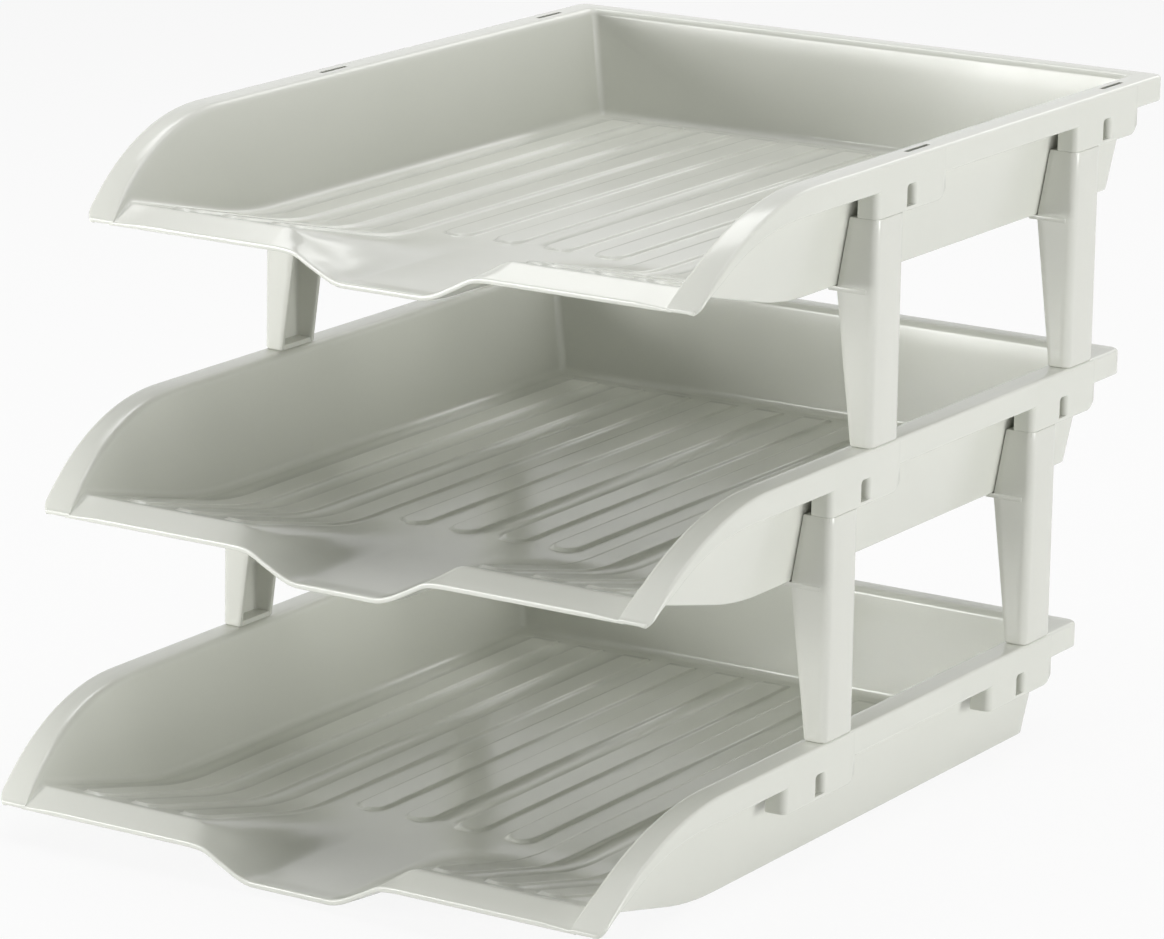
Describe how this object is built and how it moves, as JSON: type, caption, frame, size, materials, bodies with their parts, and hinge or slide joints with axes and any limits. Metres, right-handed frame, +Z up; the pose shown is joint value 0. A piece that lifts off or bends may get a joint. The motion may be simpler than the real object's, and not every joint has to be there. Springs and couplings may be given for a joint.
{
  "type": "three-tier paper tray",
  "caption": "Stepped stack of shallow open paper trays with swept side rims and a front finger scoop, carried on hollow push-fit risers at the sides.",
  "frame": {"origin": "centre of the whole stack's footprint, on the surface that the lower tray stands on", "axes": "+Z up, +Y from the open front to the back, +X to the right of someone facing the front"},
  "size_m": [0.294, 0.436, 0.278],
  "materials": {
    "tray_plastic": "satin moulded, warm light grey",
    "riser_plastic": "satin moulded, warm light grey"
  },
  "bodies": {
    "lower_tray": {"lower_tray": "tray_plastic"},
    "middle_tray": {"middle_tray": "tray_plastic"},
    "top_tray": {"top_tray": "tray_plastic"},
    "lower_riser_front_left": {"lower_riser_front_left": "riser_plastic"},
    "lower_riser_front_right": {"lower_riser_front_right": "riser_plastic"},
    "lower_riser_rear_left": {"lower_riser_rear_left": "riser_plastic"},
    "lower_riser_rear_right": {"lower_riser_rear_right": "riser_plastic"},
    "upper_riser_front_left": {"upper_riser_front_left": "riser_plastic"},
    "upper_riser_front_right": {"upper_riser_front_right": "riser_plastic"},
    "upper_riser_rear_left": {"upper_riser_rear_left": "riser_plastic"},
    "upper_riser_rear_right": {"upper_riser_rear_right": "riser_plastic"}
  },
  "joints": [
    {"name": "middle_tray_lift", "type": "slide", "parent": "lower_tray", "child": "middle_tray", "axis": [0, 0, 1], "range_m": [0, 0.08]},
    {"name": "top_tray_lift", "type": "slide", "parent": "middle_tray", "child": "top_tray", "axis": [0, 0, 1], "range_m": [0, 0.08]},
    {"name": "lower_riser_front_left_pull", "type": "slide", "parent": "lower_tray", "child": "lower_riser_front_left", "axis": [0, 0, 1], "range_m": [0, 0.04]},
    {"name": "lower_riser_front_right_pull", "type": "slide", "parent": "lower_tray", "child": "lower_riser_front_right", "axis": [0, 0, 1], "range_m": [0, 0.04]},
    {"name": "lower_riser_rear_left_pull", "type": "slide", "parent": "lower_tray", "child": "lower_riser_rear_left", "axis": [0, 0, 1], "range_m": [0, 0.04]},
    {"name": "lower_riser_rear_right_pull", "type": "slide", "parent": "lower_tray", "child": "lower_riser_rear_right", "axis": [0, 0, 1], "range_m": [0, 0.04]},
    {"name": "upper_riser_front_left_pull", "type": "slide", "parent": "middle_tray", "child": "upper_riser_front_left", "axis": [0, 0, 1], "range_m": [0, 0.04]},
    {"name": "upper_riser_front_right_pull", "type": "slide", "parent": "middle_tray", "child": "upper_riser_front_right", "axis": [0, 0, 1], "range_m": [0, 0.04]},
    {"name": "upper_riser_rear_left_pull", "type": "slide", "parent": "middle_tray", "child": "upper_riser_rear_left", "axis": [0, 0, 1], "range_m": [0, 0.04]},
    {"name": "upper_riser_rear_right_pull", "type": "slide", "parent": "middle_tray", "child": "upper_riser_rear_right", "axis": [0, 0, 1], "range_m": [0, 0.04]}
  ],
  "couplings": [
    {"joint": "lower_riser_front_left_pull", "follows": "middle_tray_lift", "ratio": 0.5},
    {"joint": "lower_riser_front_right_pull", "follows": "middle_tray_lift", "ratio": 0.5},
    {"joint": "lower_riser_rear_left_pull", "follows": "middle_tray_lift", "ratio": 0.5},
    {"joint": "lower_riser_rear_right_pull", "follows": "middle_tray_lift", "ratio": 0.5},
    {"joint": "upper_riser_front_left_pull", "follows": "top_tray_lift", "ratio": 0.5},
    {"joint": "upper_riser_front_right_pull", "follows": "top_tray_lift", "ratio": 0.5},
    {"joint": "upper_riser_rear_left_pull", "follows": "top_tray_lift", "ratio": 0.5},
    {"joint": "upper_riser_rear_right_pull", "follows": "top_tray_lift", "ratio": 0.5}
  ]
}
